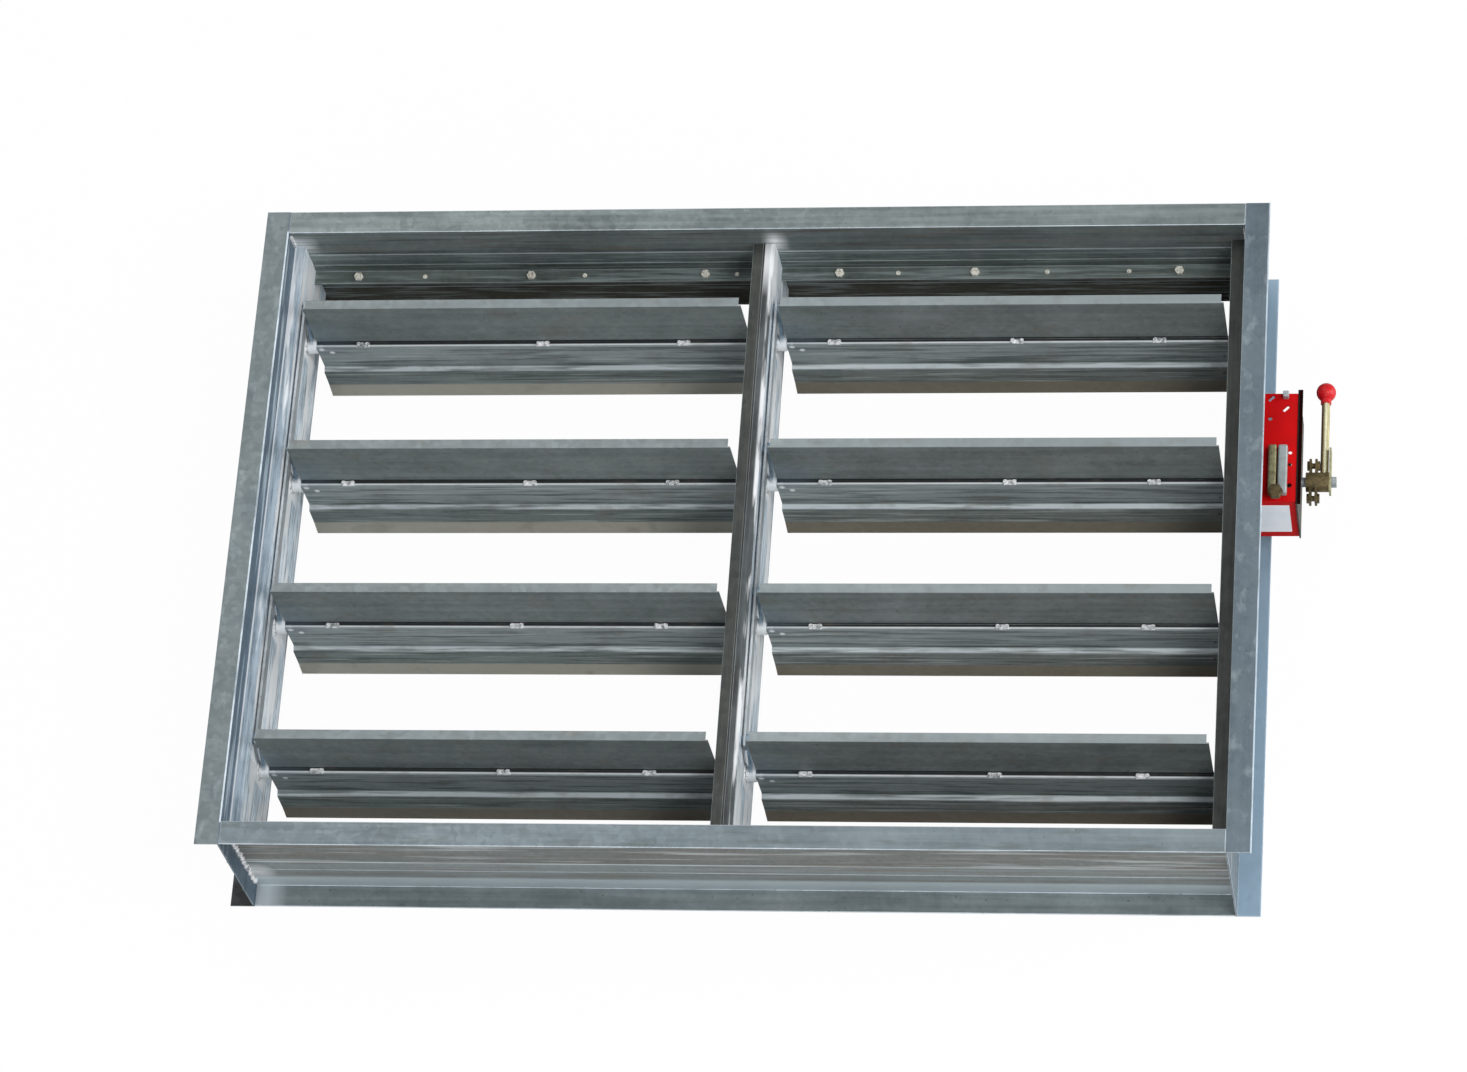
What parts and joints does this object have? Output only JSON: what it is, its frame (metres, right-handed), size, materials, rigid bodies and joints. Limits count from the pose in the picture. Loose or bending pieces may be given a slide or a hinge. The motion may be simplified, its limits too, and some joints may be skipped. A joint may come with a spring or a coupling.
{
  "type": "fire damper",
  "caption": "Rectangular flanged fire damper, blades open, with a middle mullion, tie bars and an external lever with a red ball knob.",
  "frame": {"origin": "centre of the duct opening in the plane of the rear flange faces", "axes": "+Z through the opening to the front flanges, +X towards the actuator side, +Y towards the top member"},
  "size_m": [1.343, 0.86, 0.2],
  "materials": {
    "galvanised_frame": "galvanised, satin",
    "galvanised_blade": "galvanised, satin, darker",
    "dark_stop": "dark brown, matt",
    "bright_steel": "zinc plated, satin",
    "zinc_plate": "zinc plated sheet",
    "zinc_yellow": "yellow zinc plated",
    "black_edge": "black, matt",
    "red_paint": "semi-gloss red",
    "label_white": "blank label film",
    "knob_red": "high-gloss red"
  },
  "bodies": {
    "frame": {"frame_top_member": "galvanised_frame", "frame_bottom_member": "galvanised_frame", "frame_left_jamb": "galvanised_frame", "frame_right_jamb": "galvanised_frame", "left_bearing_rail": "galvanised_frame", "right_bearing_rail": "galvanised_frame", "mullion_left_half": "galvanised_frame", "mullion_right_half": "galvanised_frame", "mullion_core": "galvanised_frame", "bushes_left": "bright_steel", "bushes_mullion": "bright_steel", "bushes_right": "bright_steel", "stop_top_left": "dark_stop", "stop_top_right": "dark_stop", "stop_bottom_left": "dark_stop", "stop_bottom_right": "dark_stop", "stop_fasteners": "bright_steel", "corner_welds": "bright_steel", "actuator_bracket": "red_paint", "actuator_label_plate": "label_white", "latch_clip": "bright_steel", "actuator_side_plate": "zinc_plate", "actuator_edge_strip": "black_edge", "latch_bar_inner": "zinc_yellow", "latch_bar_outer": "zinc_plate", "latch_nut": "zinc_yellow"},
    "row_1": {"shaft_row_1": "bright_steel", "blade_left_1": "galvanised_blade", "blade_right_1": "galvanised_blade", "blade_studs_1": "bright_steel", "crank_left_1": "bright_steel", "crank_right_1": "bright_steel"},
    "row_2": {"shaft_row_2": "bright_steel", "blade_left_2": "galvanised_blade", "blade_right_2": "galvanised_blade", "blade_studs_2": "bright_steel", "crank_left_2": "bright_steel", "crank_right_2": "bright_steel", "spring_drum_inner": "zinc_yellow", "spring_drum_outer": "zinc_plate", "lever_hub": "zinc_yellow", "hub_bolts": "zinc_yellow", "lever_rod": "zinc_yellow", "lever_knob": "knob_red", "lever_keeper_plate": "zinc_yellow"},
    "row_3": {"shaft_row_3": "bright_steel", "blade_left_3": "galvanised_blade", "blade_right_3": "galvanised_blade", "blade_studs_3": "bright_steel", "crank_left_3": "bright_steel", "crank_right_3": "bright_steel"},
    "row_4": {"shaft_row_4": "bright_steel", "blade_left_4": "galvanised_blade", "blade_right_4": "galvanised_blade", "blade_studs_4": "bright_steel", "crank_left_4": "bright_steel", "crank_right_4": "bright_steel"},
    "tie_bar_left": {"tie_bar_left": "bright_steel"},
    "tie_bar_right": {"tie_bar_right": "bright_steel"}
  },
  "joints": [
    {"name": "row_2_turn", "type": "hinge", "parent": "frame", "child": "row_2", "pos_m": [0, 0.09735, 0.1], "axis": [1, 0, 0], "range_deg": [0, 90]},
    {"name": "row_1_turn", "type": "hinge", "parent": "frame", "child": "row_1", "pos_m": [0, 0.29205, 0.1], "axis": [1, 0, 0], "range_deg": [0, 90]},
    {"name": "row_3_turn", "type": "hinge", "parent": "frame", "child": "row_3", "pos_m": [0, -0.09735, 0.1], "axis": [1, 0, 0], "range_deg": [0, 90]},
    {"name": "row_4_turn", "type": "hinge", "parent": "frame", "child": "row_4", "pos_m": [0, -0.29205, 0.1], "axis": [1, 0, 0], "range_deg": [0, 90]},
    {"name": "tie_bar_left_pin", "type": "hinge", "parent": "row_2", "child": "tie_bar_left", "pos_m": [-0.5821, 0.12235, 0.1433], "axis": [1, 0, 0], "range_deg": [-90, 0]},
    {"name": "tie_bar_right_pin", "type": "hinge", "parent": "row_2", "child": "tie_bar_right", "pos_m": [0.0179, 0.12235, 0.1433], "axis": [1, 0, 0], "range_deg": [-90, 0]}
  ],
  "couplings": [
    {"joint": "row_1_turn", "follows": "row_2_turn", "ratio": 1},
    {"joint": "row_3_turn", "follows": "row_2_turn", "ratio": 1},
    {"joint": "row_4_turn", "follows": "row_2_turn", "ratio": 1},
    {"joint": "tie_bar_left_pin", "follows": "row_2_turn", "ratio": -1},
    {"joint": "tie_bar_right_pin", "follows": "row_2_turn", "ratio": -1}
  ]
}
